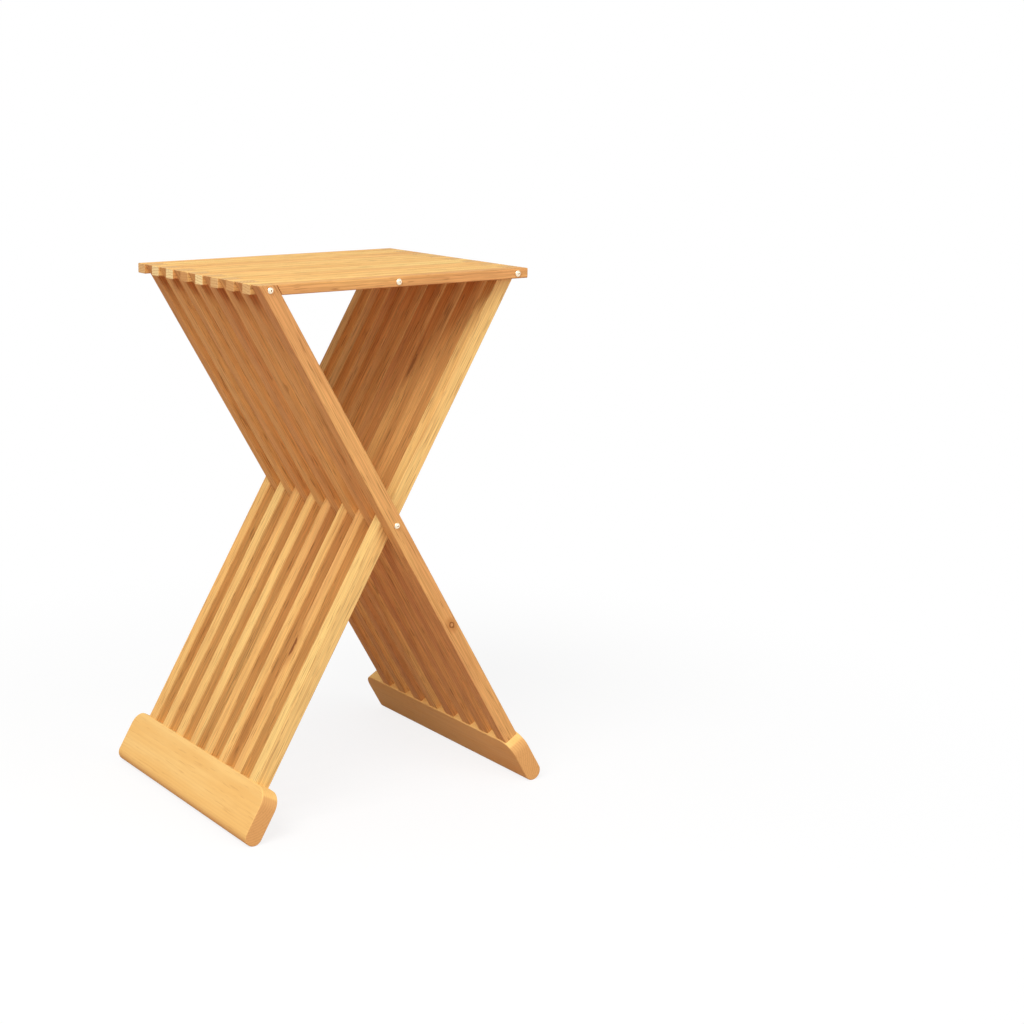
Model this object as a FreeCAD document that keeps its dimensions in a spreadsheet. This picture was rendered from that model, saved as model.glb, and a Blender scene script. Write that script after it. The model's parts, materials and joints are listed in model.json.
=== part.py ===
import FreeCAD, Part
import math
import os

import Sketcher

# Folding slatted stool, in millimetres. X runs along the seat, Y along the pivot rods to the back, Z up.
# The origin is on the floor, midway between the ends of the foot bars. The model is in the open position.

doc = FreeCAD.newDocument("FoldingStool")
sheet = doc.addObject("Spreadsheet::Sheet", "Sizes")

drivingSizes = [
    # Pivot triangle, seen from the front
    ("seatHalfSpan", 186, "side pivot to middle pivot"),
    ("legUpperLength", 366, "crossing pivot to seat pivot"),
    ("legLowerLength", 450, "crossing pivot to the sole, along the leg"),
    # Slats
    ("slatsPerSet", 8, "slats in each of the four sets"),
    ("slatThickness", 20, "slat size along the rods"),
    ("slatGap", 0.5, "free space between neighbouring layers"),
    ("legWidth", 22, "leg slat size across its length"),
    ("seatHeight", 13, "seat slat size from top to underside"),
    ("edgeRound", 1.6, "round on the long edges of every slat"),
    ("seatEndGap", 1.0, "bevelled seat end to the leg beside it"),
    # Foot bars
    ("footLength", 372, "foot bar along the rods"),
    ("footHeight", 73.5, "foot bar along the leg"),
    ("footThickness", 25.5, "foot bar across the leg"),
    ("footTopRound", 22, "upper end corners of the board"),
    ("footSoleFlat", 0.5, "flat left between the rounded edges of the sole"),
    ("footEdgeRound", 1.5, "round along every other edge of the board"),
    ("footHousing", 4, "leg slat let into the top of the board"),
    ("tenonLength", 28, "leg slat tenon below its shoulder"),
    ("tenonShoulder", 4, "step from slat edge to tenon edge"),
    ("tenonClearance", 0.1, "mortise wall to tenon wall"),
    # Pivot rods and their caps
    ("rodDiameter", 6, "pivot rod"),
    ("rodClearance", 0.08, "bore wall to rod, on the radius"),
    ("capDiameter", 8.4, "domed cap"),
    ("capHeight", 3.0, "domed cap, from its seat to its crown"),
    ("capRim", 0.8, "straight rim below the dome"),
    ("capBoreDepth", 1.4, "rod end inside the cap"),
    ("capDimpleDiameter", 2.4, "recess in the crown"),
    ("capDimpleDepth", 0.6, "recess in the crown"),
    ("capGap", 0.3, "cap to a slat that turns against it"),
]
for row, (alias, size, note) in enumerate(drivingSizes, start=1):
    sheet.set(f"A{row}", note)
    sheet.set(f"B{row}", str(size))
    sheet.setAlias(f"B{row}", alias)
doc.recompute()


def valueOf(formula):
    result = sheet.evalExpression(formula)
    return float(getattr(result, "Value", result))


# Formulas that several pieces share
openAngle = "asin(Sizes.seatHalfSpan / Sizes.legUpperLength)"
layerPitch = "(Sizes.slatThickness + Sizes.slatGap)"
stackDepth = f"(2 * Sizes.slatsPerSet * {layerPitch} - Sizes.slatGap)"
stackMiddle = f"(-{layerPitch} / 2)"
boreRadius = "(Sizes.rodDiameter / 2 + Sizes.rodClearance)"
footTopLevel = "(-(Sizes.legLowerLength - Sizes.footHeight))"
shoulderLevel = f"({footTopLevel} - Sizes.footHousing)"
tenonHalfWidth = "(Sizes.legWidth / 2 - Sizes.tenonShoulder)"
stubLength = f"(Sizes.legWidth / 2 / cos({openAngle}) + Sizes.seatHeight / 2 * tan({openAngle}))"
soleRadius = "((Sizes.footThickness - Sizes.footSoleFlat) / 2)"
# The rounded sole touches the floor, and this is how far its centre line lies above it
soleRise = f"({soleRadius} + Sizes.footSoleFlat / 2 * sin({openAngle}))"
crossLevel = f"((Sizes.legLowerLength - {soleRadius}) * cos({openAngle}) + {soleRise})"
seatLevel = f"({crossLevel} + Sizes.legUpperLength * cos({openAngle}))"

slatCount = int(valueOf("Sizes.slatsPerSet"))
nodes = []


def layerPlace(layer):
    # Middle of a layer along the rods: layer 0 is the front one. The slats of frame B are centred on the
    # foot bars, so the whole stack lies half a layer to the front.
    return f"(({layer} - Sizes.slatsPerSet) * {layerPitch})"


def place(piece, x="0", y="0", z="0", tilt="0"):
    piece.Placement = FreeCAD.Placement(
        FreeCAD.Vector(valueOf(x), valueOf(y), valueOf(z)),
        FreeCAD.Rotation(FreeCAD.Vector(0, 1, 0), valueOf(tilt)),
    )
    piece.setExpression("Placement.Base.x", x)
    piece.setExpression("Placement.Base.y", y)
    piece.setExpression("Placement.Base.z", z)
    if tilt != "0":
        piece.setExpression("Placement.Rotation.Angle", tilt)


def newBody(name):
    body = doc.addObject("PartDesign::Body", name)
    body.Label = name
    nodes.append(body)
    return body


def originFeature(body, role):
    return next(feature for feature in body.Origin.OriginFeatures if feature.Role == role)


def newSketch(body, name, role):
    sketch = body.newObject("Sketcher::SketchObject", f"{body.Name}_{name}")
    sketch.AttachmentSupport = (originFeature(body, role), [""])
    sketch.MapMode = "FlatFace"
    return sketch


def bind(sketch, kind, geometry, point, formula):
    index = sketch.addConstraint(Sketcher.Constraint(kind, -1, 1, geometry, point, valueOf(formula)))
    sketch.setExpression(f"Constraints[{index}]", formula)


def drawOutline(sketch, corners):
    # A closed outline whose corners are pairs of formulas, measured from the sketch's origin
    points = [FreeCAD.Vector(valueOf(x), valueOf(y), 0) for x, y in corners]
    count = len(points)
    first = sketch.GeometryCount
    for index in range(count):
        sketch.addGeometry(Part.LineSegment(points[index], points[(index + 1) % count]))
    for index, (x, y) in enumerate(corners):
        following = first + (index + 1) % count
        sketch.addConstraint(Sketcher.Constraint("Coincident", first + index, 2, following, 1))
        bind(sketch, "DistanceX", first + index, 1, x)
        bind(sketch, "DistanceY", first + index, 1, y)


def drawCircle(sketch, x, y, radius):
    centre = FreeCAD.Vector(valueOf(x), valueOf(y), 0)
    circle = sketch.addGeometry(Part.Circle(centre, FreeCAD.Vector(0, 0, 1), valueOf(radius)))
    bind(sketch, "DistanceX", circle, 3, x)
    bind(sketch, "DistanceY", circle, 3, y)
    index = sketch.addConstraint(Sketcher.Constraint("Radius", circle, valueOf(radius)))
    sketch.setExpression(f"Constraints[{index}]", radius)


def addPad(body, sketch, length):
    pad = body.newObject("PartDesign::Pad", f"{body.Name}_pad")
    pad.Profile = sketch
    pad.SideType = "Symmetric"
    pad.setExpression("Length", length)
    doc.recompute()
    return pad


def addFillet(body, name, base, radius, isRounded):
    chosen = [f"Edge{number}" for number, edge in enumerate(base.Shape.Edges, start=1) if isRounded(edge)]
    fillet = body.newObject("PartDesign::Fillet", f"{body.Name}_{name}")
    fillet.Base = (base, chosen)
    fillet.setExpression("Radius", radius)
    doc.recompute()
    return fillet


def isLongEdge(edge, along, shortest):
    # A straight edge that runs along one axis of the piece and is longer than its other edges
    if edge.Curve.TypeId != "Part::GeomLine":
        return False
    return abs(edge.Curve.Direction.dot(along)) > 0.999 and edge.Length > shortest


xAxis = FreeCAD.Vector(1, 0, 0)
yAxis = FreeCAD.Vector(0, 1, 0)
zAxis = FreeCAD.Vector(0, 0, 1)


def makeLegSlat(name, layer, side):
    # Measured from the crossing pivot, up the leg. The top is cut level with the seat, so its outer corner is
    # the sharp one, and a tenon steps in below the shoulder. side is 1 for frame A and -1 for frame B.
    body = newBody(name)
    outer = f"(-({side}) * Sizes.legWidth / 2)"
    inner = f"({side} * Sizes.legWidth / 2)"
    tenonOuter = f"(-({side}) * {tenonHalfWidth})"
    tenonInner = f"({side} * {tenonHalfWidth})"
    topRise = f"Sizes.legWidth / 2 * sin({openAngle})"
    outerTop = f"Sizes.legUpperLength + (Sizes.seatHeight / 2 + {topRise}) / cos({openAngle})"
    innerTop = f"Sizes.legUpperLength + (Sizes.seatHeight / 2 - {topRise}) / cos({openAngle})"
    tenonEnd = f"{shoulderLevel} - Sizes.tenonLength"
    profile = newSketch(body, "profile", "XZ_Plane")
    drawOutline(profile, [
        (outer, shoulderLevel),
        (outer, outerTop),
        (inner, innerTop),
        (inner, shoulderLevel),
        (tenonInner, shoulderLevel),
        (tenonInner, tenonEnd),
        (tenonOuter, tenonEnd),
        (tenonOuter, shoulderLevel),
    ])
    drawCircle(profile, "0", "0", boreRadius)
    drawCircle(profile, "0", "Sizes.legUpperLength", boreRadius)
    pad = addPad(body, profile, "Sizes.slatThickness")
    upperLength = valueOf("Sizes.legUpperLength")
    addFillet(body, "eased", pad, "Sizes.edgeRound", lambda edge: isLongEdge(edge, zAxis, upperLength))
    place(body, y=layerPlace(layer), z=crossLevel, tilt=f"(-({side}) * {openAngle})")


def makeSeatSlat(name, layer, side):
    # Measured from its side pivot. The outer end is square, in line with the leg's top corner, and the inner
    # end is bevelled along the other leg. side is 1 for set A, at the left, and -1 for set B.
    body = newBody(name)
    farReach = f"(2 * Sizes.seatHalfSpan - (Sizes.legWidth / 2 + Sizes.seatEndGap) / cos({openAngle}))"
    bevelReach = f"Sizes.seatHeight / 2 * tan({openAngle})"
    stub = f"(-({side}) * {stubLength})"
    top = "Sizes.seatHeight / 2"
    underside = "-Sizes.seatHeight / 2"
    profile = newSketch(body, "profile", "XZ_Plane")
    drawOutline(profile, [
        (stub, underside),
        (stub, top),
        (f"{side} * ({farReach} + {bevelReach})", top),
        (f"{side} * ({farReach} - {bevelReach})", underside),
    ])
    drawCircle(profile, "0", "0", boreRadius)
    drawCircle(profile, f"{side} * Sizes.seatHalfSpan", "0", boreRadius)
    pad = addPad(body, profile, "Sizes.slatThickness")
    span = valueOf("Sizes.seatHalfSpan")
    addFillet(body, "eased", pad, "Sizes.edgeRound", lambda edge: isLongEdge(edge, xAxis, span))
    place(body, x=f"-({side}) * Sizes.seatHalfSpan", y=layerPlace(layer), z=seatLevel)


def addPocket(body, name, middleY, halfWidth, depth):
    # A rectangular recess for one leg slat, cut down from the top of the board
    sketch = newSketch(body, name, "XY_Plane")
    sketch.setExpression("AttachmentOffset.Base.z", footTopLevel)
    halfDepth = "(Sizes.slatThickness / 2 + Sizes.tenonClearance)"
    drawOutline(sketch, [
        (f"-{halfWidth}", f"{middleY} - {halfDepth}"),
        (halfWidth, f"{middleY} - {halfDepth}"),
        (halfWidth, f"{middleY} + {halfDepth}"),
        (f"-{halfWidth}", f"{middleY} + {halfDepth}"),
    ])
    before = body.Shape.Volume
    pocket = body.newObject("PartDesign::Pocket", f"{body.Name}_{name}_cut")
    pocket.Profile = sketch
    pocket.setExpression("Length", depth)
    doc.recompute()
    if pocket.Shape.Volume > before - 1:
        raise RuntimeError(f"{body.Name}: the {name} cut nothing")
    return pocket


def makeFootBar(name, firstLayer, side):
    # A board along the rods. Its lower edge is rounded over, so it meets the floor at any angle of the legs.
    # Its upper end corners are round, and each leg slat has a shallow housing with a mortise below it.
    body = newBody(name)
    inner = f"(-({side}) * Sizes.footThickness / 2)"
    outer = f"({side} * Sizes.footThickness / 2)"
    section = newSketch(body, "section", "XZ_Plane")
    drawOutline(section, [
        (inner, footTopLevel),
        (outer, footTopLevel),
        (outer, "-Sizes.legLowerLength"),
        (inner, "-Sizes.legLowerLength"),
    ])
    pad = addPad(body, section, "Sizes.footLength")
    middle = valueOf(f"{footTopLevel} - Sizes.footHeight / 2")
    halfThickness = valueOf("Sizes.footThickness") / 2
    halfLength = valueOf("Sizes.footLength") / 2

    def isSoleEdge(edge):
        return isLongEdge(edge, yAxis, halfLength) and edge.CenterOfMass.z < middle

    def isTopCorner(edge):
        return isLongEdge(edge, xAxis, halfThickness) and edge.CenterOfMass.z > middle

    def isRim(edge):
        centre = edge.CenterOfMass
        isOnFace = abs(abs(centre.x) - halfThickness) < halfThickness / 100
        isAtEnd = abs(abs(centre.y) - halfLength) < halfLength / 1000 and centre.z < middle
        return (isOnFace or isAtEnd) and not isSoleEdge(edge)

    sole = addFillet(body, "sole", pad, soleRadius, isSoleEdge)
    corners = addFillet(body, "corners", sole, "Sizes.footTopRound", isTopCorner)
    addFillet(body, "rim", corners, "Sizes.footEdgeRound", isRim)

    middleY = layerPlace(firstLayer)
    housing = addPocket(body, "housing", middleY, "(Sizes.legWidth / 2 + Sizes.tenonClearance)",
                        "Sizes.footHousing")
    mortise = addPocket(body, "mortise", middleY, f"({tenonHalfWidth} + Sizes.tenonClearance)",
                        "Sizes.footHousing + Sizes.tenonLength + Sizes.tenonClearance")
    row = body.newObject("PartDesign::LinearPattern", f"{body.Name}_row")
    row.Originals = [housing, mortise]
    row.Direction = (originFeature(body, "Y_Axis"), [""])
    row.Mode = "Spacing"
    row.setExpression("Offset", f"2 * {layerPitch}")
    row.setExpression("Occurrences", "Sizes.slatsPerSet")
    body.Tip = row
    doc.recompute()
    place(body, z=crossLevel, tilt=f"(-({side}) * {openAngle})")


def rodCylinder(name, x, y, z, length):
    # A rod along Y whose middle is at y
    rod = doc.addObject("Part::Cylinder", name)
    rod.setExpression("Radius", "Sizes.rodDiameter / 2")
    rod.setExpression("Height", length)
    rod.Placement = FreeCAD.Placement(
        FreeCAD.Vector(valueOf(x), valueOf(y) - valueOf(length) / 2, valueOf(z)),
        FreeCAD.Rotation(xAxis, -90),
    )
    rod.setExpression("Placement.Base.x", x)
    rod.setExpression("Placement.Base.y", f"{y} - {length} / 2")
    rod.setExpression("Placement.Base.z", z)
    return rod


def makePivotRod(name, x, z, looseEnd):
    # Through all layers and into both caps. looseEnd is the end whose cap turns against its slat:
    # -1 front, 1 back.
    length = f"({stackDepth} + 2 * Sizes.capBoreDepth + Sizes.capGap)"
    rod = rodCylinder(name, x, f"({stackMiddle} + {looseEnd} * Sizes.capGap / 2)", z, length)
    rod.Label = name
    nodes.append(rod)


def makeMiddleRod(name, layers):
    # The part of the middle rod that lies in each slat of one seat set. The outermost part also reaches
    # into its cap.
    lastLayer = 2 * slatCount - 1
    pieces = []
    for number, layer in enumerate(layers, start=1):
        length = "Sizes.slatThickness"
        middle = layerPlace(layer)
        if layer in (0, lastLayer):
            outward = -1 if layer == 0 else 1
            length = "(Sizes.slatThickness + Sizes.capBoreDepth)"
            middle = f"({layerPlace(layer)} + {outward} * Sizes.capBoreDepth / 2)"
        pieces.append(rodCylinder(f"{name}_{number}", "0", middle, seatLevel, length))
    group = doc.addObject("Part::Compound", name)
    group.Links = pieces
    group.Label = name
    nodes.append(group)


def makeCap(name, x, z, end, isLoose):
    # A domed cap with a blind bore for the rod end and a small recess in its crown. end is -1 front,
    # 1 back.
    body = newBody(name)
    radius = "Sizes.capDiameter / 2"
    dimpleRadius = "Sizes.capDimpleDiameter / 2"
    domeRise = "(Sizes.capHeight - Sizes.capRim)"
    domeRadius = f"((({radius})^2 + {domeRise}^2) / (2 * {domeRise}))"
    domeCentre = f"(Sizes.capHeight - {domeRadius})"
    dimpleTop = f"({domeCentre} + sqrt({domeRadius}^2 - ({dimpleRadius})^2))"
    dimpleFloor = f"({dimpleTop} - Sizes.capDimpleDepth)"
    corners = [
        (dimpleRadius, dimpleTop),
        (dimpleRadius, dimpleFloor),
        ("0", dimpleFloor),
        ("0", "Sizes.capBoreDepth"),
        (boreRadius, "Sizes.capBoreDepth"),
        (boreRadius, "0"),
        (radius, "0"),
        (radius, "Sizes.capRim"),
    ]
    profile = newSketch(body, "profile", "XY_Plane")
    points = [FreeCAD.Vector(valueOf(across), valueOf(up), 0) for across, up in corners]
    lastLine = len(points) - 2
    for index in range(lastLine + 1):
        profile.addGeometry(Part.LineSegment(points[index], points[index + 1]))
        bind(profile, "DistanceX", index, 2, corners[index + 1][0])
        bind(profile, "DistanceY", index, 2, corners[index + 1][1])
    for index in range(lastLine):
        profile.addConstraint(Sketcher.Constraint("Coincident", index, 2, index + 1, 1))
    bind(profile, "DistanceX", 0, 1, dimpleRadius)
    # The dome is an arc about a point on the axis, from the rim to the recess
    centre = FreeCAD.Vector(0, valueOf(domeCentre), 0)
    rimTurn = math.atan2(points[-1].y - centre.y, points[-1].x)
    dimpleTurn = math.atan2(points[0].y - centre.y, points[0].x)
    circle = Part.Circle(centre, zAxis, valueOf(domeRadius))
    dome = profile.addGeometry(Part.ArcOfCircle(circle, rimTurn, dimpleTurn))
    profile.addConstraint(Sketcher.Constraint("Coincident", dome, 1, lastLine, 2))
    profile.addConstraint(Sketcher.Constraint("Coincident", dome, 2, 0, 1))
    bind(profile, "DistanceX", dome, 3, "0")
    bind(profile, "DistanceY", dome, 3, domeCentre)
    turned = body.newObject("PartDesign::Revolution", f"{name}_turned")
    turned.Profile = profile
    turned.ReferenceAxis = (profile, ["V_Axis"])
    doc.recompute()
    gap = "Sizes.capGap" if isLoose else "0"
    seat = f"({stackMiddle} + {end} * ({stackDepth} / 2 + {gap}))"
    body.Placement = FreeCAD.Placement(
        FreeCAD.Vector(valueOf(x), valueOf(seat), valueOf(z)),
        FreeCAD.Rotation(zAxis, 0 if end > 0 else 180),
    )
    body.setExpression("Placement.Base.x", x)
    body.setExpression("Placement.Base.y", seat)
    body.setExpression("Placement.Base.z", z)


# The layers alternate: a leg of frame A lies beside a seat slat of set B, then leg B beside seat A
for number in range(1, slatCount + 1):
    frontLayer = 2 * number - 2
    backLayer = 2 * number - 1
    makeLegSlat(f"leg_a_slat_{number}", frontLayer, 1)
    makeLegSlat(f"leg_b_slat_{number}", backLayer, -1)
    makeSeatSlat(f"seat_a_slat_{number}", backLayer, 1)
    makeSeatSlat(f"seat_b_slat_{number}", frontLayer, -1)

makeFootBar("foot_bar_a", 0, 1)
makeFootBar("foot_bar_b", 1, -1)

# Each rod turns with one leg frame, so the cap on the other frame's outer slat is the loose one
leftPivot = "(-Sizes.seatHalfSpan)"
rightPivot = "Sizes.seatHalfSpan"
makePivotRod("pivot_rod_left", leftPivot, seatLevel, 1)
makePivotRod("pivot_rod_right", rightPivot, seatLevel, -1)
makePivotRod("pivot_rod_cross", "0", crossLevel, 1)
makeMiddleRod("middle_rod_a", range(1, 2 * slatCount, 2))
makeMiddleRod("middle_rod_b", range(0, 2 * slatCount, 2))

makeCap("cap_left_front", leftPivot, seatLevel, -1, False)
makeCap("cap_left_back", leftPivot, seatLevel, 1, True)
makeCap("cap_right_front", rightPivot, seatLevel, -1, True)
makeCap("cap_right_back", rightPivot, seatLevel, 1, False)
makeCap("cap_cross_front", "0", crossLevel, -1, False)
makeCap("cap_cross_back", "0", crossLevel, 1, True)
makeCap("cap_middle_front", "0", seatLevel, -1, False)
makeCap("cap_middle_back", "0", seatLevel, 1, False)

doc.recompute()

for item in doc.Objects:
    if "Invalid" in item.State or "Error" in item.State:
        raise RuntimeError(f"{item.Label} failed: {item.State}")
for node in nodes:
    if node.Shape.isNull() or not node.Shape.isValid():
        raise RuntimeError(f"{node.Label} has no valid shape")

os.makedirs("parts", exist_ok=True)
for node in nodes:
    node.Shape.exportStep(f"parts/{node.Label}.step")

openHeight = valueOf(seatLevel) + valueOf("Sizes.seatHeight") / 2
print(f"{len(nodes)} pieces, {openHeight:.1f} mm high, open at {valueOf(openAngle):.2f} degrees a side")
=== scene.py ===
import json
import math

import bmesh
import bpy
from mathutils import Matrix, Vector


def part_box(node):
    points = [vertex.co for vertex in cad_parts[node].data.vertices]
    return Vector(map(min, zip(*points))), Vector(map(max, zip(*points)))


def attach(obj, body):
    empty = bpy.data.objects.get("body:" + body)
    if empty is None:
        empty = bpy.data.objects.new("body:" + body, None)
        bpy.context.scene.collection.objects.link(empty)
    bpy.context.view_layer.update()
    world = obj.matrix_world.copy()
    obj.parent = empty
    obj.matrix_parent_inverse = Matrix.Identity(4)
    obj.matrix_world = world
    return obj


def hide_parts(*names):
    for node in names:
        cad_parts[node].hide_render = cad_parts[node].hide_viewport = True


# Folding slatted stool: oiled wood slats, foot boards and small domed rod caps, built around the CAD frame.
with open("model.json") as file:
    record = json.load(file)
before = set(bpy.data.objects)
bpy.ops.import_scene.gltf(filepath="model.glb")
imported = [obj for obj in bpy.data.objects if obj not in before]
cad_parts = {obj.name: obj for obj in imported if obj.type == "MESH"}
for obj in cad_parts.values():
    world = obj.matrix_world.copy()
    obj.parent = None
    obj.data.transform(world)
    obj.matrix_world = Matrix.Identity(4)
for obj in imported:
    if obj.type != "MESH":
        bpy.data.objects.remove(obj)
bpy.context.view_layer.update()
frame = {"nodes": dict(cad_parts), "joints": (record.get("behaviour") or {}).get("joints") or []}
scene = bpy.context.scene
print("frame loaded:", len(frame["nodes"]), "nodes")


# Helpers for node trees

def setSocket(tree, socket, value):
    if isinstance(value, bpy.types.NodeSocket):
        tree.links.new(value, socket)
    else:
        socket.default_value = value


def put(tree, kind, inputs=(), **settings):
    # One node: settings are its properties, inputs its sockets by name or number, as values or links
    node = tree.nodes.new(kind)
    for key, value in settings.items():
        setattr(node, key, value)
    pairs = inputs.items() if isinstance(inputs, dict) else enumerate(inputs)
    for key, value in pairs:
        setSocket(tree, node.inputs[key], value)
    return node


def calc(tree, operation, *values):
    return put(tree, "ShaderNodeMath", values, operation=operation).outputs[0]


def vectorCalc(tree, operation, *values):
    return put(tree, "ShaderNodeVectorMath", values, operation=operation).outputs[0]


def measure(tree, operation, *vectors):
    # One number from vectors, such as a length or a dot product
    return put(tree, "ShaderNodeVectorMath", vectors, operation=operation).outputs["Value"]


def scaled(tree, vector, factor):
    return put(tree, "ShaderNodeVectorMath", {0: vector, "Scale": factor}, operation="SCALE").outputs[0]


def vectorParts(tree, vector):
    return put(tree, "ShaderNodeSeparateXYZ", [vector]).outputs


def vectorFrom(tree, *parts):
    return put(tree, "ShaderNodeCombineXYZ", parts).outputs[0]


def grainNoise(tree, place, grain, output="Fac"):
    # Noise drawn out along the axes on which the grain's scale is low
    drawnOut = vectorCalc(tree, "MULTIPLY", place, grain["scale"])
    inputs = {"Vector": drawnOut, "Scale": 1.0, "Detail": grain["detail"]}
    return put(tree, "ShaderNodeTexNoise", inputs).outputs[output]


def fade(tree, value, fromRange, toRange=(0.0, 1.0)):
    # Smooth step from one range to another
    inputs = {
        "Value": value,
        "From Min": fromRange[0], "From Max": fromRange[1],
        "To Min": toRange[0], "To Max": toRange[1],
    }
    return put(tree, "ShaderNodeMapRange", inputs, interpolation_type="SMOOTHSTEP").outputs["Result"]


def blendColour(tree, amount, first, second):
    node = put(tree, "ShaderNodeMix", data_type="RGBA")
    colours = [socket for socket in node.inputs if socket.type == "RGBA"]
    for socket, value in zip((node.inputs[0], *colours), (amount, first, second)):
        setSocket(tree, socket, value)
    return next(socket for socket in node.outputs if socket.type == "RGBA")


def tint(tree, colour, mask, depth, other):
    # Brings the other colour in where the mask is high, as far as the depth says
    return blendColour(tree, calc(tree, "MULTIPLY", mask, depth), colour, other)


def newMaterial(name):
    material = bpy.data.materials.new(name)
    material.use_nodes = True
    tree = material.node_tree
    tree.nodes.clear()
    return material, tree


def finishMaterial(tree, inputs):
    surface = put(tree, "ShaderNodeBsdfPrincipled", inputs)
    put(tree, "ShaderNodeOutputMaterial", {"Surface": surface.outputs[0]})


# Helpers for pieces

def newObject(name, data):
    item = bpy.data.objects.new(name, data)
    scene.collection.objects.link(item)
    return item


def smoothMesh(shape, name):
    for face in shape.faces:
        face.smooth = True
    mesh = bpy.data.meshes.new(name)
    shape.to_mesh(mesh)
    shape.free()
    return mesh


def newTree(name, inputs):
    # A geometry tree with named inputs, each given with the kind of its socket
    tree = bpy.data.node_groups.new(name, "GeometryNodeTree")
    for inputName, kind in {"Geometry": "Geometry", **inputs}.items():
        tree.interface.new_socket(inputName, in_out="INPUT", socket_type=f"NodeSocket{kind}")
    tree.interface.new_socket("Geometry", in_out="OUTPUT", socket_type="NodeSocketGeometry")
    return tree, put(tree, "NodeGroupInput").outputs


def addTree(source, tree, values):
    modifier = source.modifiers.new("build", "NODES")
    modifier.node_group = tree
    for item in tree.interface.items_tree:
        if item.in_out == "INPUT" and item.name in values:
            modifier[item.identifier] = values[item.name]


def addRounding(source, **settings):
    rounding = source.modifiers.new("rounding", "BEVEL")
    rounding.harden_normals = True
    for key, value in settings.items():
        setattr(rounding, key, value)


def keepResult(source, name):
    # The evaluated source as a plain mesh object, with the source and its modifiers gone
    evaluated = source.evaluated_get(bpy.context.evaluated_depsgraph_get())
    mesh = bpy.data.meshes.new_from_object(evaluated)
    mesh.name = name
    source.modifiers.clear()
    bpy.data.objects.remove(source)
    return newObject(name, mesh)


# Places read from the frame

joints = {joint["name"]: Vector(joint["pos_m"]) for joint in frame["joints"]}
crossPivot = joints["fold"]
leftPivot = joints["seat_a_lift"]
rightPivot = joints["seat_b_lift"]
openAngle = math.atan2(rightPivot.x - crossPivot.x, rightPivot.z - crossPivot.z)
upperLength = (rightPivot - crossPivot).length
slatCount = sum(name.startswith("leg_a_slat_") for name in frame["nodes"])
seatLow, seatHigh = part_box("seat_a_slat_1")
seatHeight = seatHigh.z - seatLow.z
legTilts = {"a": -openAngle, "b": openAngle}


def slatNodes(setName):
    return [f"{setName}_slat_{number}" for number in range(1, slatCount + 1)]


def slatRow(setName):
    # Middle of the first slat along Y, step to the next one, and slat thickness
    nodes = slatNodes(setName)
    firstLow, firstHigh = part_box(nodes[0])
    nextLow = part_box(nodes[1])[0]
    return (firstLow.y + firstHigh.y) / 2, nextLow.y - firstLow.y, firstHigh.y - firstLow.y


# Wood of the slats

woodLook = {
    "pale": (0.98, 0.67, 0.240, 1),
    "honey": (0.93, 0.54, 0.176, 1),
    "amber": (0.77, 0.395, 0.138, 1),
    "toneStops": (0.1, 0.5, 0.9),       # tones at which the wood is amber, honey and pale
    "driftShare": 1.2,
    "streak": (0.60, 0.28, 0.080, 1),
    "streakFrom": (0.50, 0.74),
    "streakDepth": 0.42,
    "fibreFrom": (0.33, 0.68),
    "fibreRange": (0.85, 1.07),
    "pore": (0.27, 0.095, 0.025, 1),
    "poreFrom": (0.66, 0.76),
    "poreDepth": 0.42,
    "deep": (0.50, 0.19, 0.045, 1),
    "ringStep": 0.0036,                 # one year of growth
    "ringWave": 1.6,                    # how far a ring wanders, in steps
    "ringRise": (0.15, 0.8),            # late wood darkens slowly over a ring
    "ringFall": (1.0, 0.84),            # and stops short at its end
    "ringTaper": 0.02,                  # how fast rings close up along the log
    "ringDepth": 0.13,
    "endRingDepth": 0.34,
    "pithNear": (0.02, -0.035, 0),
    "pithSpread": (0.09, 0.07, 0),
    "logSpread": (1.7, 2.3, 5.9),
    "jointFrom": (0.40, 0.48),          # out from the middle of a slat, in thicknesses
    "jointFacing": (0.9, 0.6),
    # how dark the painted shade in the joints is
    "jointShade": 0.42,
    "endBrown": (0.62, 0.29, 0.088, 1),
    "endPale": (1.0, 0.80, 0.38, 1),
    "endFacing": (0.72, 0.84),
    "roughFrom": (0.3, 0.75),
    "roughness": (0.76, 0.60),
    "poreRelief": 0.8,
    "ringRelief": 0.3,
    "bumpHeight": 0.0003,
    "bumpStrength": 0.25,
    "gloss": 0.12,
}
# How fast each part of the grain changes, per metre: twice across the slat, then along it
slatGrain = {
    "drift": {"scale": (34, 34, 3.0), "detail": 3.0},
    "wave": {"scale": (26, 26, 2.4), "detail": 2.0},
    "streak": {"scale": (170, 170, 7.0), "detail": 2.0},
    "fibre": {"scale": (950, 950, 20), "detail": 2.0},
    "pore": {"scale": (640, 640, 36), "detail": 0.0},
}


def turnBack(tree, place, tilt):
    # A place turned back about Y, so that Z runs along a tilted leg or seat slat
    return put(tree, "ShaderNodeMapping", {"Vector": place, "Rotation": (0, -tilt, 0)}).outputs[0]


def growthRings(tree, fromPith, wave):
    # Late wood, dark towards the outer side of each ring round the pith
    look = woodLook
    wobble = scaled(tree, wave, look["ringWave"] * look["ringStep"])
    reach = measure(tree, "LENGTH", vectorCalc(tree, "ADD", fromPith, wobble))
    phase = calc(tree, "FRACT", calc(tree, "DIVIDE", reach, look["ringStep"]))
    return calc(tree, "MULTIPLY", fade(tree, phase, look["ringRise"]), fade(tree, phase, look["ringFall"]))


def endFaces(tree, normal, grainRun):
    # 1 on faces cut square to the grain
    facing = calc(tree, "ABSOLUTE", measure(tree, "DOT_PRODUCT", normal, grainRun))
    return fade(tree, facing, woodLook["endFacing"])


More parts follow.
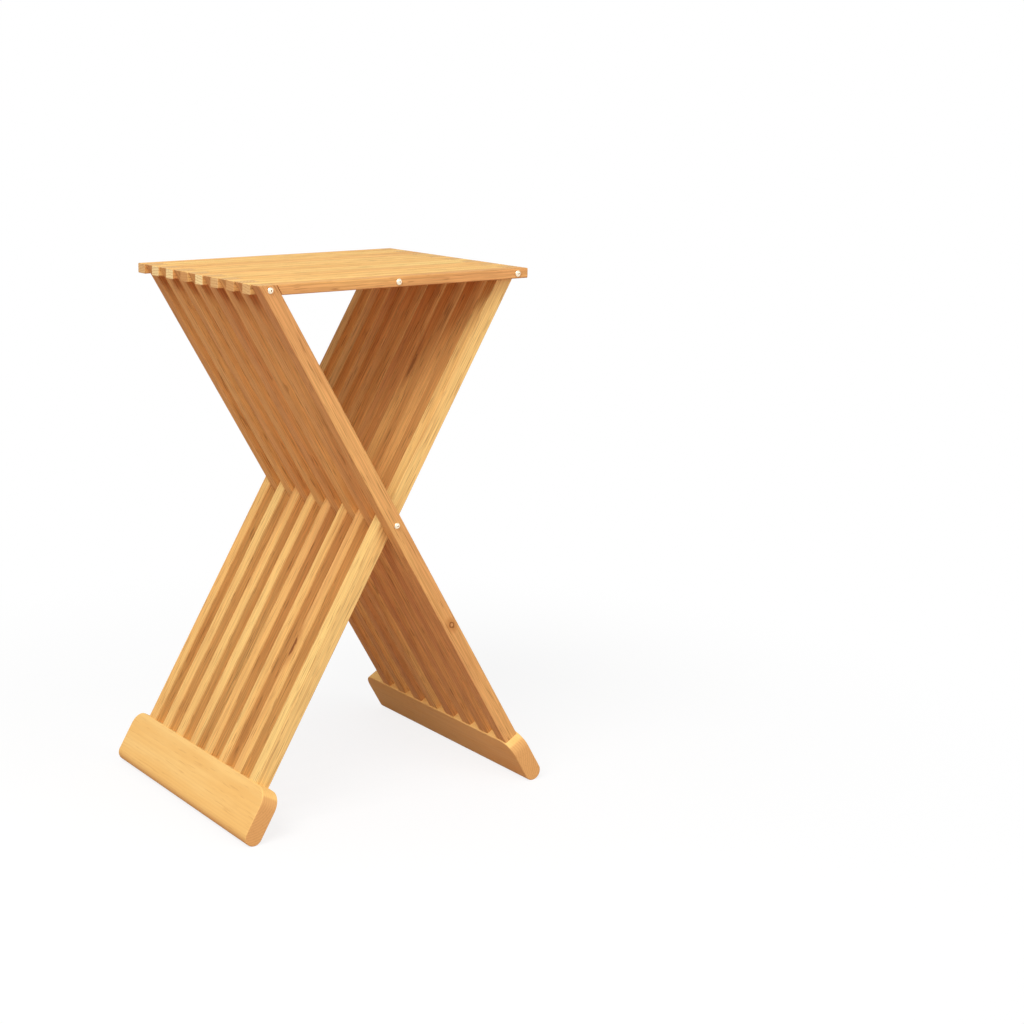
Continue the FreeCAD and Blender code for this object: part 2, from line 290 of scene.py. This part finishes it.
def finishWood(tree, colour, fibre, relief):
    look = woodLook
    bump = put(tree, "ShaderNodeBump", {
        "Strength": look["bumpStrength"], "Distance": look["bumpHeight"], "Height": relief,
    })
    finishMaterial(tree, {
        "Base Color": colour,
        "Roughness": fade(tree, fibre, look["roughFrom"], look["roughness"]),
        "Normal": bump.outputs[0],
        "Specular IOR Level": look["gloss"],
    })


def toneOfSlat(tree, slatNumber, tones):
    # One grey value for each slat of a row, front to back
    place = calc(tree, "DIVIDE", calc(tree, "ADD", slatNumber, 0.5), len(tones))
    ramp = put(tree, "ShaderNodeValToRGB", [place])
    ramp.color_ramp.interpolation = "CONSTANT"
    stops = ramp.color_ramp.elements
    while len(stops) < len(tones):
        stops.new(1.0)
    for number, tone in enumerate(tones):
        stops[number].position = number / len(tones)
        stops[number].color = (tone, tone, tone, 1)
    return put(tree, "ShaderNodeSeparateColor", [ramp.outputs["Color"]]).outputs[0]


def groundColour(tree, tone):
    # From amber over honey to pale
    amberStop, honeyStop, paleStop = woodLook["toneStops"]
    ramp = put(tree, "ShaderNodeValToRGB", [tone])
    stops = ramp.color_ramp.elements
    stops[0].position, stops[0].color = amberStop, woodLook["amber"]
    stops[1].position, stops[1].color = paleStop, woodLook["pale"]
    stops.new(honeyStop).color = woodLook["honey"]
    return ramp.outputs["Color"]


def woodMaterial(name, tilt, row, seed, tones, endTones, knots=()):
    # Solid wood on object coordinates: x across the slat, y along the rods, z along the grain after the turn.
    # Every slat has its own tone and takes its own part of the log, from its place in the row.
    look = woodLook
    rowStart, rowStep, rowThickness = row
    material, tree = newMaterial(name)
    coordinates = put(tree, "ShaderNodeTexCoord").outputs
    turned = turnBack(tree, coordinates["Object"], tilt)
    alongRods = calc(tree, "SUBTRACT", vectorParts(tree, turned)[1], rowStart)
    slatNumber = calc(tree, "ROUND", calc(tree, "DIVIDE", alongRods, rowStep))
    slatSeed = calc(tree, "ADD", slatNumber, seed)
    chance = put(tree, "ShaderNodeTexWhiteNoise", {"W": slatSeed}, noise_dimensions="1D").outputs["Color"]
    inLog = vectorCalc(tree, "ADD", turned, vectorCalc(tree, "MULTIPLY", chance, look["logSpread"]))

    # Growth rings round a pith that lies beside the slat
    pith = vectorCalc(tree, "MULTIPLY_ADD", chance, look["pithSpread"], look["pithNear"])
    fromPith = vectorCalc(tree, "MULTIPLY_ADD", turned, (1, 1, look["ringTaper"]), pith)
    lateWood = growthRings(tree, fromPith, grainNoise(tree, inLog, slatGrain["wave"], "Color"))

    drift = grainNoise(tree, inLog, slatGrain["drift"])
    streak = fade(tree, grainNoise(tree, inLog, slatGrain["streak"]), look["streakFrom"])
    fibre = grainNoise(tree, inLog, slatGrain["fibre"])
    pore = fade(tree, grainNoise(tree, inLog, slatGrain["pore"]), look["poreFrom"])

    # Slat tone and drift choose the ground, rings, streaks and fibres shade it, pores and knots are dark
    change = calc(tree, "MULTIPLY", calc(tree, "SUBTRACT", drift, 0.5), look["driftShare"])
    colour = groundColour(tree, calc(tree, "ADD", toneOfSlat(tree, slatNumber, tones), change))
    colour = tint(tree, colour, lateWood, look["ringDepth"], look["deep"])
    colour = tint(tree, colour, streak, look["streakDepth"], look["streak"])
    colour = scaled(tree, colour, fade(tree, fibre, look["fibreFrom"], look["fibreRange"]))
    colour = tint(tree, colour, pore, look["poreDepth"], look["pore"])
    for knot in knots:
        colour = addKnot(tree, turned, inLog, colour, knot)

    # Painted shade in the joints: the rounded edges beside the gaps between slats are darkened into thin dark
    # lines
    slatMiddle = calc(tree, "MULTIPLY", slatNumber, rowStep)
    fromMiddle = calc(tree, "ABSOLUTE", calc(tree, "SUBTRACT", alongRods, slatMiddle))
    sideways = calc(tree, "ABSOLUTE", vectorParts(tree, coordinates["Normal"])[1])
    jointFrom = [share * rowThickness for share in look["jointFrom"]]
    inView = fade(tree, sideways, look["jointFacing"])  # not the sides, which face the next slat
    jointShadeMask = calc(tree, "MULTIPLY", fade(tree, fromMiddle, jointFrom), inView)
    colour = tint(tree, colour, jointShadeMask, look["jointShade"], look["deep"])

    # Square cut ends show end grain, paler or browner from slat to slat
    endColour = blendColour(tree, toneOfSlat(tree, slatNumber, endTones), look["endBrown"], look["endPale"])
    endColour = tint(tree, endColour, lateWood, look["endRingDepth"], look["deep"])
    endColour = tint(tree, endColour, pore, look["poreDepth"], look["pore"])
    grainRun = (math.sin(tilt), 0, math.cos(tilt))
    colour = blendColour(tree, endFaces(tree, coordinates["Normal"], grainRun), colour, endColour)

    relief = calc(tree, "SUBTRACT", fibre, calc(tree, "MULTIPLY", pore, look["poreRelief"]))
    relief = calc(tree, "SUBTRACT", relief, calc(tree, "MULTIPLY", lateWood, look["ringRelief"]))
    finishWood(tree, colour, fibre, relief)
    return material


# Knots: how far each part reaches, in knot sizes, and each knot's place from the crossing pivot along its leg
knotLook = {
    "ripple": {"scale": (190, 190, 190), "detail": 1.0},
    "rippleDepth": 0.7,
    "haloFrom": (2.6, 0.9),
    "coreFrom": (1.0, 0.7),
    "eyeFrom": (0.55, 0.35),
}
legKnots = {
    "a": [
        {
            "place": (0.002, -0.174, -0.172), "size": (0.0044, 0.009, 0.0062),
            "depth": 0.85, "halo": 0.55, "eye": 0.75,
        },
    ],
    "b": [
        {
            "place": (-0.011, -0.0945, -0.198), "size": (0.006, 0.0048, 0.017),
            "depth": 1.0, "halo": 0.5, "eye": 0.0,
        },
        {
            "place": (-0.011, -0.061, 0.210), "size": (0.006, 0.0034, 0.020),
            "depth": 0.6, "halo": 0.5, "eye": 0.0,
        },
    ],
}


def addKnot(tree, turned, inLog, colour, knot):
    # A knot drawn out along the grain: a dark eye or a dark ring with a paler eye, in a reddish halo
    look = knotLook
    shaped = vectorCalc(tree, "DIVIDE", vectorCalc(tree, "SUBTRACT", turned, knot["place"]), knot["size"])
    ripple = calc(tree, "SUBTRACT", grainNoise(tree, inLog, look["ripple"]), 0.5)
    reach = calc(tree, "MULTIPLY_ADD", ripple, look["rippleDepth"], measure(tree, "LENGTH", shaped))
    colour = tint(tree, colour, fade(tree, reach, look["haloFrom"]), knot["halo"], woodLook["deep"])
    colour = tint(tree, colour, fade(tree, reach, look["coreFrom"]), knot["depth"], woodLook["pore"])
    return tint(tree, colour, fade(tree, reach, look["eyeFrom"]), knot["eye"], woodLook["amber"])


# Slats: one tree makes a row of them for any of the four sets

slatSizes = {
    "legWidth": 0.022,
    "legLower": 0.450,
    "footHeight": 0.0735,
    "intoFoot": 0.0038,
    "seatEndGap": 0.0005,
    "edgeRound": 0.0016,
    "endEase": 0.45,
    "roundSteps": 3,
}


def makeSlatTree():
    tree, given = newTree("slatRow", {
        "Slat Count": "Int", "First Slat": "Float", "Slat Step": "Float", "Thickness": "Float",
        "Width": "Float", "Low End": "Float", "High End": "Float", "High Slant": "Float",
        "Tilt": "Float", "Pivot": "Vector", "End Ease": "Float", "Wood": "Material",
    })

    # One slat along Z, with its upper end cut on a slant
    length = calc(tree, "SUBTRACT", given["High End"], given["Low End"])
    middle = calc(tree, "MULTIPLY", calc(tree, "ADD", given["High End"], given["Low End"]), 0.5)
    size = vectorFrom(tree, given["Width"], given["Thickness"], length)
    block = put(tree, "GeometryNodeMeshCube", {"Size": size})
    spot = vectorParts(tree, put(tree, "GeometryNodeInputPosition").outputs[0])
    isUpper = calc(tree, "GREATER_THAN", spot[2], 0.0)
    slant = calc(tree, "MULTIPLY", calc(tree, "MULTIPLY", spot[0], given["High Slant"]), isUpper)
    lift = vectorFrom(tree, 0.0, 0.0, calc(tree, "ADD", middle, slant))
    cut = put(tree, "GeometryNodeSetPosition", {"Geometry": block.outputs["Mesh"], "Offset": lift})

    # Long edges are rounded in full, end edges are only eased
    ends = put(tree, "GeometryNodeInputMeshEdgeVertices").outputs
    edgeRun = vectorParts(tree, vectorCalc(tree, "SUBTRACT", ends["Position 2"], ends["Position 1"]))
    halfLength = calc(tree, "MULTIPLY", length, 0.5)
    isLong = calc(tree, "GREATER_THAN", calc(tree, "ABSOLUTE", edgeRun[2]), halfLength)
    eased = put(tree, "GeometryNodeStoreNamedAttribute", {
        "Geometry": cut.outputs[0], "Name": "bevel_weight_edge",
        "Value": calc(tree, "MAXIMUM", isLong, given["End Ease"]),
    }, data_type="FLOAT", domain="EDGE")

    row = put(tree, "GeometryNodeMeshLine", {
        "Count": given["Slat Count"],
        "Start Location": vectorFrom(tree, 0.0, given["First Slat"], 0.0),
        "Offset": vectorFrom(tree, 0.0, given["Slat Step"], 0.0),
    })
    slats = put(tree, "GeometryNodeInstanceOnPoints", {
        "Points": row.outputs[0], "Instance": eased.outputs[0],
    })
    solid = put(tree, "GeometryNodeRealizeInstances", [slats.outputs[0]])
    placed = put(tree, "GeometryNodeTransform", {
        "Geometry": solid.outputs[0],
        "Translation": given["Pivot"],
        "Rotation": vectorFrom(tree, 0.0, given["Tilt"], 0.0),
    })
    wooden = put(tree, "GeometryNodeSetMaterial", {"Geometry": placed.outputs[0], "Material": given["Wood"]})
    put(tree, "NodeGroupOutput", [wooden.outputs[0]])
    return tree


slatTree = makeSlatTree()


def makeSlats(name, setName, body, wood, tilt, pivot, width, ends, slant):
    firstSlat, slatStep, thickness = slatRow(setName)
    lowEnd, highEnd = ends
    source = newObject(f"{name}_source", bpy.data.meshes.new(f"{name}_source"))
    addTree(source, slatTree, {
        "Slat Count": slatCount,
        "First Slat": firstSlat,
        "Slat Step": slatStep,
        "Thickness": thickness,
        "Width": width,
        "Low End": lowEnd,
        "High End": highEnd,
        "High Slant": slant,
        "Tilt": tilt,
        "Pivot": pivot,
        "End Ease": slatSizes["endEase"],
        "Wood": wood,
    })
    addRounding(
        source, limit_method="WEIGHT", width=slatSizes["edgeRound"], segments=slatSizes["roundSteps"],
    )
    piece = keepResult(source, name)
    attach(piece, body)
    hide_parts(*slatNodes(setName))
    print(name, "made:", len(piece.data.polygons), "faces")


# Tone of each slat, front to back: 0 is amber, 0.5 honey and 1 pale; for the ends, 0 is brown and 1 pale
slatTones = {
    "leg_a": (0.25, 0.26, 0.46, 0.22, 0.50, 0.30, 0.54, 0.40),
    "leg_b": (0.98, 0.48, 0.62, 0.46, 0.62, 0.54, 0.68, 0.58),
    "seat_a": (0.66, 0.50, 0.80, 0.56, 0.70, 0.42, 0.74, 0.52),
    "seat_b": (0.14, 0.62, 0.46, 0.74, 0.44, 0.68, 0.40, 0.66),
}
endTones = {
    "leg_a": (0.34,) * slatCount,
    "leg_b": (0.34,) * slatCount,
    "seat_a": (0.42, 0.20, 0.42, 0.98, 0.14, 1.0, 0.90, 0.42),
    "seat_b": (0.30, 0.55, 0.25, 0.70, 0.35, 0.60, 0.30, 0.50),
}
logSeeds = {"leg_a": 11, "leg_b": 43, "seat_a": 71, "seat_b": 97}


def slatWood(name, setName, tilt, knots=()):
    tones = slatTones[setName], endTones[setName]
    return woodMaterial(name, tilt, slatRow(setName), logSeeds[setName], *tones, knots)


# Leg slats run from just inside the foot board to the top of the seat
legShoulder = slatSizes["legLower"] - slatSizes["footHeight"]
legEnds = (-legShoulder - slatSizes["intoFoot"], upperLength + seatHeight / 2 / math.cos(openAngle))
for side, tilt in legTilts.items():
    # The wood is turned about the object's origin, so knots are placed from the turned pivot
    turnedPivot = Matrix.Rotation(-tilt, 3, "Y") @ crossPivot
    knots = [dict(knot, place=Vector(knot["place"]) + turnedPivot) for knot in legKnots[side]]
    wood = slatWood(f"legWood_{side}", f"leg_{side}", tilt, knots)
    makeSlats(
        f"leg_slats_{side}", f"leg_{side}", f"leg_frame_{side}", wood, tilt=tilt,
        pivot=crossPivot, width=slatSizes["legWidth"], ends=legEnds, slant=math.tan(tilt),
    )

# Seat slats run from a short stub past their own pivot to just clear of the legs on the other side
stub = slatSizes["legWidth"] / 2 / math.cos(openAngle) + seatHeight / 2 * math.tan(openAngle)
endRoom = (slatSizes["legWidth"] / 2 + slatSizes["seatEndGap"]) / math.cos(openAngle)
seatEnds = (-stub, rightPivot.x - leftPivot.x - endRoom)
for side, pivot, turnSign in (("a", leftPivot, 1), ("b", rightPivot, -1)):
    tilt = turnSign * math.pi / 2
    wood = slatWood(f"seatWood_{side}", f"seat_{side}", tilt)
    makeSlats(
        f"seat_slats_{side}", f"seat_{side}", f"seat_{side}", wood, tilt=tilt,
        pivot=pivot, width=seatHeight, ends=seatEnds, slant=-turnSign * math.tan(openAngle),
    )


# Foot boards

footSizes = {
    "thickness": 0.0255,
    "topRound": 0.022,
    "soleFlat": 0.0005,
    "edgeRound": 0.0015,
    "edgeAngle": 50,          # degrees, edges that turn more than this are rounded
    "cornerSteps": 12,
    "soleSteps": 8,
    "rimSteps": 3,
    "levelRoom": 1e-5,
}
footLook = {
    "face": (0.98, 0.64, 0.230, 1),
    "shade": (0.93, 0.56, 0.180, 1),
    "driftFrom": (0.38, 0.66),
    "figureFrom": (0.46, 0.70),
    "figureDepth": 0.35,
    "fleck": (0.62, 0.30, 0.085, 1),
    "fleckFrom": (0.62, 0.76),
    "fleckDepth": 0.30,
    "fibreFrom": (0.52, 0.80),
    "fibreDepth": 0.16,
    "pith": (0.034, 0, -0.021),
    "ringDepth": 0.10,
    "endGrain": (0.82, 0.45, 0.158, 1),
    "endFleckFrom": (0.56, 0.72),
    "endFleckDepth": 0.35,
    "logPlace": {"a": (3.1, 1.7, 0.4), "b": (0.6, 2.9, 1.3)},
}
# The board's grain runs along the rods, so the middle number of each scale is the low one
footGrain = {
    "drift": {"scale": (30, 4, 30), "detail": 3.0},
    "wave": {"scale": (26, 3, 26), "detail": 2.0},
    "figure": {"scale": (150, 14, 150), "detail": 3.0},
    "fleck": {"scale": (420, 30, 420), "detail": 1.0},
    "fibre": {"scale": (950, 40, 950), "detail": 2.0},
}


def footWood(side, tilt, centre):
    look = footLook
    material, tree = newMaterial(f"footWood_{side}")
    coordinates = put(tree, "ShaderNodeTexCoord").outputs
    turned = turnBack(tree, vectorCalc(tree, "SUBTRACT", coordinates["Object"], centre), tilt)
    inLog = vectorCalc(tree, "ADD", turned, look["logPlace"][side])
    drift, figure, fleck, fibre, wave = (
        grainNoise(tree, inLog, footGrain[part]) for part in ("drift", "figure", "fleck", "fibre", "wave")
    )
    fromPith = vectorCalc(tree, "MULTIPLY_ADD", turned, (1, woodLook["ringTaper"], 1), look["pith"])
    lateWood = growthRings(tree, fromPith, wave)

    colour = blendColour(tree, fade(tree, drift, look["driftFrom"]), look["face"], look["shade"])
    colour = tint(tree, colour, lateWood, look["ringDepth"], woodLook["streak"])
    colour = tint(tree, colour, fade(tree, figure, look["figureFrom"]), look["figureDepth"], look["shade"])
    colour = tint(tree, colour, fade(tree, fleck, look["fleckFrom"]), look["fleckDepth"], look["fleck"])
    colour = tint(tree, colour, fade(tree, fibre, look["fibreFrom"]), look["fibreDepth"], look["fleck"])
    endColour = tint(tree, look["endGrain"], lateWood, woodLook["endRingDepth"], look["fleck"])
    endFleck = fade(tree, fleck, look["endFleckFrom"])
    endColour = tint(tree, endColour, endFleck, look["endFleckDepth"], look["fleck"])
    colour = blendColour(tree, endFaces(tree, coordinates["Normal"], (0, 1, 0)), colour, endColour)
    finishWood(tree, colour, fibre, fibre)
    return material


def boardSection():
    # Across the board and up the leg: a square top, and a lower edge that is rounded over
    half = footSizes["thickness"] / 2
    radius = half - footSizes["soleFlat"] / 2
    steps = footSizes["soleSteps"]
    points = [(half, -legShoulder), (-half, -legShoulder)]
    for edge, startTurn in ((-1, math.pi), (1, 1.5 * math.pi)):
        x = edge * footSizes["soleFlat"] / 2
        z = radius - slatSizes["legLower"]
        for step in range(steps + 1):
            turn = startTurn + math.pi / 2 * step / steps
            points.append((x + radius * math.cos(turn), z + radius * math.sin(turn)))
    return points


def topCorners(shape):
    # The two edges across the top of the board, at its front and back
    room = footSizes["levelRoom"]
    corners = []
    for edge in shape.edges:
        first, second = (vert.co for vert in edge.verts)
        isTop = min(first.z, second.z) > -legShoulder - room
        if isTop and abs(first.y - second.y) < room:
            corners.append(edge)
    return corners


def makeFootBoard(side, tilt):
    name = f"foot_board_{side}"
    node = f"foot_bar_{side}"
    low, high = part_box(node)
    shape = bmesh.new()
    front = shape.faces.new([shape.verts.new((x, low.y, z)) for x, z in boardSection()])
    grown = bmesh.ops.extrude_face_region(shape, geom=[front])["geom"]
    moved = [item for item in grown if isinstance(item, bmesh.types.BMVert)]
    bmesh.ops.translate(shape, verts=moved, vec=(0, high.y - low.y, 0))
    bmesh.ops.recalc_face_normals(shape, faces=shape.faces)
    bmesh.ops.bevel(
        shape, geom=topCorners(shape), offset=footSizes["topRound"], offset_type="OFFSET",
        segments=footSizes["cornerSteps"], profile=0.5, affect="EDGES",
    )
    place = Matrix.Translation(crossPivot) @ Matrix.Rotation(tilt, 4, "Y")
    bmesh.ops.transform(shape, matrix=place, verts=shape.verts)
    source = newObject(f"{name}_source", smoothMesh(shape, f"{name}_source"))
    addRounding(
        source, limit_method="ANGLE", angle_limit=math.radians(footSizes["edgeAngle"]),
        width=footSizes["edgeRound"], segments=footSizes["rimSteps"],
    )
    board = keepResult(source, name)
    board.data.materials.append(footWood(side, tilt, (low + high) / 2))
    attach(board, f"leg_frame_{side}")
    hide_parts(node)


for side, tilt in legTilts.items():
    makeFootBoard(side, tilt)
print("foot boards made")


# Rod caps and rods

capSizes = {
    "radius": 0.0042,
    "height": 0.0030,
    "rim": 0.0008,
    "dimpleRadius": 0.0012,
    "dimpleDepth": 0.0006,
    "dimpleFloor": 0.85,      # the recess narrows to this share of its radius
    "domeSteps": 8,
    "turnSteps": 32,
    "mergeRoom": 1e-6,
}
capLook = {
    "dull": (0.90, 0.76, 0.55, 1),
    "bright": (0.97, 0.86, 0.68, 1),
    # painted shade for the floor of the dimple
    "recess": (0.30, 0.15, 0.07, 1),
    "grain": {"scale": (900, 900, 900), "detail": 2.0},
    "roughFrom": (0.3, 0.7),
    "roughness": (0.25, 0.42),
}
rodLook = {
    "dull": (0.45, 0.45, 0.44, 1),
    "bright": (0.66, 0.66, 0.64, 1),
    "grain": {"scale": (1600, 30, 1600), "detail": 2.0},
    "roughFrom": (0.3, 0.7),
    "roughness": (0.25, 0.45),
}
capsOnBody = {
    "leg_frame_a": ("cap_left_front", "cap_left_back", "cap_cross_front", "cap_cross_back"),
    "leg_frame_b": ("cap_right_front", "cap_right_back"),
    "seat_a": ("cap_middle_back",),
    "seat_b": ("cap_middle_front",),
}


def capMetal():
    look = capLook
    material, tree = newMaterial("capMetal")
    grain = grainNoise(tree, put(tree, "ShaderNodeTexCoord").outputs["Object"], look["grain"])
    # The dimple's floor is painted dark and not metal: painted shade in the recess
    recess = put(tree, "ShaderNodeAttribute", attribute_name="recess").outputs["Fac"]
    colour = blendColour(tree, grain, look["dull"], look["bright"])
    finishMaterial(tree, {
        "Base Color": blendColour(tree, recess, colour, look["recess"]),
        "Metallic": calc(tree, "SUBTRACT", 1.0, recess),
        "Roughness": fade(tree, grain, look["roughFrom"], look["roughness"]),
    })
    return material


def rodSteel():
    look = rodLook
    material, tree = newMaterial("rodSteel")
    brushed = grainNoise(tree, put(tree, "ShaderNodeTexCoord").outputs["Object"], look["grain"])
    finishMaterial(tree, {
        "Base Color": blendColour(tree, brushed, look["dull"], look["bright"]),
        "Metallic": 1.0,
        "Roughness": fade(tree, brushed, look["roughFrom"], look["roughness"]),
    })
    return material


def capProfile():
    # From the rim's foot over the dome to the middle of the recess, as distance from the axis and height
    rise = capSizes["height"] - capSizes["rim"]
    domeRadius = (capSizes["radius"] ** 2 + rise ** 2) / (2 * rise)
    centre = capSizes["height"] - domeRadius
    startAngle = math.atan2(capSizes["rim"] - centre, capSizes["radius"])
    endAngle = math.acos(capSizes["dimpleRadius"] / domeRadius)
    points = [(capSizes["radius"], 0.0)]
    for step in range(capSizes["domeSteps"] + 1):
        angle = startAngle + (endAngle - startAngle) * step / capSizes["domeSteps"]
        points.append((domeRadius * math.cos(angle), centre + domeRadius * math.sin(angle)))
    bottom = points[-1][1] - capSizes["dimpleDepth"]
    return points + [(capSizes["dimpleRadius"] * capSizes["dimpleFloor"], bottom), (0.0, bottom)]


def sortByPlace(items, place):
    # A fixed order, because merging leaves another one on each run
    for number, item in enumerate(sorted(items, key=place)):
        item.index = number
    items.sort()


def makeCapShape():
    # One cap that points along -Y from its seat, turned round its axis
    shape = bmesh.new()
    verts = [shape.verts.new((across, -up, 0)) for across, up in capProfile()]
    edges = [shape.edges.new(pair) for pair in zip(verts, verts[1:])]
    bmesh.ops.spin(
        shape, geom=verts + edges, axis=(0, 1, 0), cent=(0, 0, 0),
        angle=2 * math.pi, steps=capSizes["turnSteps"], use_merge=True,
    )
    bmesh.ops.remove_doubles(shape, verts=shape.verts, dist=capSizes["mergeRoom"])
    rim = [edge for edge in shape.edges if edge.is_boundary]
    bmesh.ops.contextual_create(shape, geom=rim)
    bmesh.ops.recalc_face_normals(shape, faces=shape.faces)
    sortByPlace(shape.verts, lambda vert: vert.co[:])
    sortByPlace(shape.faces, lambda face: face.calc_center_median()[:])
    mesh = smoothMesh(shape, "capShape")
    # Marks the dimple's floor, where shade is painted
    inRecessShade = mesh.attributes.new("recess", "FLOAT", "POINT")
    for vert, value in zip(mesh.vertices, inRecessShade.data):
        fromAxis = math.hypot(vert.co.x, vert.co.z)
        value.value = float(fromAxis < capSizes["dimpleRadius"] - capSizes["mergeRoom"])
    return newObject("capShape", mesh)


def makeCapTree():
    tree, given = newTree("rodCaps", {"Cap": "Object", "Metal": "Material"})
    cap = put(tree, "GeometryNodeObjectInfo", {"Object": given["Cap"]})
    spot = vectorParts(tree, put(tree, "GeometryNodeInputPosition").outputs[0])
    # A cap on the back face is turned half round, to point away from the slats
    turn = calc(tree, "MULTIPLY", calc(tree, "GREATER_THAN", spot[1], 0.0), math.pi)
    caps = put(tree, "GeometryNodeInstanceOnPoints", {
        "Points": given["Geometry"],
        "Instance": cap.outputs["Geometry"],
        "Rotation": vectorFrom(tree, 0.0, 0.0, turn),
    })
    solid = put(tree, "GeometryNodeRealizeInstances", [caps.outputs[0]])
    plated = put(tree, "GeometryNodeSetMaterial", {"Geometry": solid.outputs[0], "Material": given["Metal"]})
    put(tree, "NodeGroupOutput", [plated.outputs[0]])
    return tree


def makeCaps(body, nodes, tree, values):
    points = []
    for node in nodes:
        low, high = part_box(node)
        seat = high.y if high.y < 0 else low.y
        points.append(((low.x + high.x) / 2, seat, (low.z + high.z) / 2))
    mesh = bpy.data.meshes.new(f"caps_{body}_source")
    mesh.from_pydata(points, [], [])
    source = newObject(f"caps_{body}_source", mesh)
    addTree(source, tree, values)
    caps = keepResult(source, f"caps_{body}")
    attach(caps, body)
    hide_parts(*nodes)


capTree = makeCapTree()
capShape = makeCapShape()
capValues = {"Cap": capShape, "Metal": capMetal()}
for body, nodes in capsOnBody.items():
    makeCaps(body, nodes, capTree, capValues)
bpy.data.objects.remove(capShape)
steel = rodSteel()
for name, node in frame["nodes"].items():
    if "rod" in name:
        node.data.materials.clear()
        node.data.materials.append(steel)
print("caps and rods finished")


# Floor, light and camera

stageLook = {
    "floorSize": 30.0,
    "floorColour": (0.96, 0.96, 0.96, 1),
    "floorBounce": (0.38, 0.20, 0.200, 1),
    "white": (1, 1, 1, 1),
    "shadowShare": 0.18,
    "shadowReach": (0.45, 1.15),
    "skyLevel": 0.53,
}
lamps = {
    "key": {"place": (-2.05, -1.25, 2.95), "size": 2.4, "power": 89.0},
    "fill": {"place": (1.3, -3.0, 0.9), "size": 2.4, "power": 36.0},
}
photoView = {
    "imageSize": 1024,
    "focalPixels": 1915.3,
    "centrePixel": (330.5, 500.0),
    "azimuth": -31.646,
    "elevation": 12.799,
    "distance": 2.6099,
    "target": (0, -0.01025, 0.39204),
    "sensor": 36.0,
}


def backgroundRays(tree):
    # 1 for rays that show the background: from the camera, and in gloss and glass
    path = put(tree, "ShaderNodeLightPath").outputs
    shown = calc(tree, "MAXIMUM", path["Is Camera Ray"], path["Is Glossy Ray"])
    return calc(tree, "MAXIMUM", shown, path["Is Transmission Ray"])


def paleFloor():
    # White for the camera with a faint shadow near the stool, and a warm tone for the light that it sends up
    look = stageLook
    material, tree = newMaterial("paleFloor")
    away = measure(tree, "LENGTH", put(tree, "ShaderNodeTexCoord").outputs["Object"])
    shown = backgroundRays(tree)
    colour = blendColour(tree, shown, look["floorBounce"], look["floorColour"])
    matt = put(tree, "ShaderNodeBsdfDiffuse", [colour])
    white = put(tree, "ShaderNodeEmission", [look["white"], 1.0])
    whitened = fade(tree, away, look["shadowReach"], (1 - look["shadowShare"], 1.0))
    amount = calc(tree, "MULTIPLY", whitened, shown)
    surface = put(tree, "ShaderNodeMixShader", [amount, matt.outputs[0], white.outputs[0]])
    put(tree, "ShaderNodeOutputMaterial", {"Surface": surface.outputs[0]})
    return material


def makeFloor():
    half = stageLook["floorSize"] / 2
    mesh = bpy.data.meshes.new("floor")
    corners = [(-half, -half, 0), (half, -half, 0), (half, half, 0), (-half, half, 0)]
    mesh.from_pydata(corners, [], [(0, 1, 2, 3)])
    floor = newObject("floor", mesh)
    floor.data.materials.append(paleFloor())


def makeSky():
    world = bpy.data.worlds.new("studio")
    scene.world = world
    world.use_nodes = True
    tree = world.node_tree
    tree.nodes.clear()
    light = put(tree, "ShaderNodeBackground", [stageLook["white"], stageLook["skyLevel"]])
    white = put(tree, "ShaderNodeBackground", [stageLook["white"], 1.0])
    surface = put(tree, "ShaderNodeMixShader", [backgroundRays(tree), light.outputs[0], white.outputs[0]])
    put(tree, "ShaderNodeOutputWorld", {"Surface": surface.outputs[0]})


def makeLamp(name, look):
    lamp = bpy.data.lights.new(name, "AREA")
    lamp.shape = "DISK"
    lamp.size = look["size"]
    lamp.energy = look["power"]
    holder = newObject(name, lamp)
    holder.location = look["place"]
    aim = crossPivot - holder.location
    holder.rotation_euler = aim.to_track_quat("-Z", "Y").to_euler()


def makeCamera():
    view = photoView
    azimuth = math.radians(view["azimuth"])
    elevation = math.radians(view["elevation"])
    back = Vector((
        math.sin(azimuth) * math.cos(elevation),
        -math.cos(azimuth) * math.cos(elevation),
        math.sin(elevation),
    ))
    lens = bpy.data.cameras.new("photoCamera")
    lens.sensor_width = view["sensor"]
    lens.lens = view["focalPixels"] / view["imageSize"] * view["sensor"]
    lens.shift_x = 0.5 - view["centrePixel"][0] / view["imageSize"]
    lens.shift_y = view["centrePixel"][1] / view["imageSize"] - 0.5
    camera = newObject("photoCamera", lens)
    camera.location = Vector(view["target"]) + back * view["distance"]
    camera.rotation_euler = (-back).to_track_quat("-Z", "Y").to_euler()
    scene.camera = camera


makeFloor()
makeSky()
for name, look in lamps.items():
    makeLamp(name, look)
makeCamera()
scene.view_settings.view_transform = "Standard"
print("stage ready")
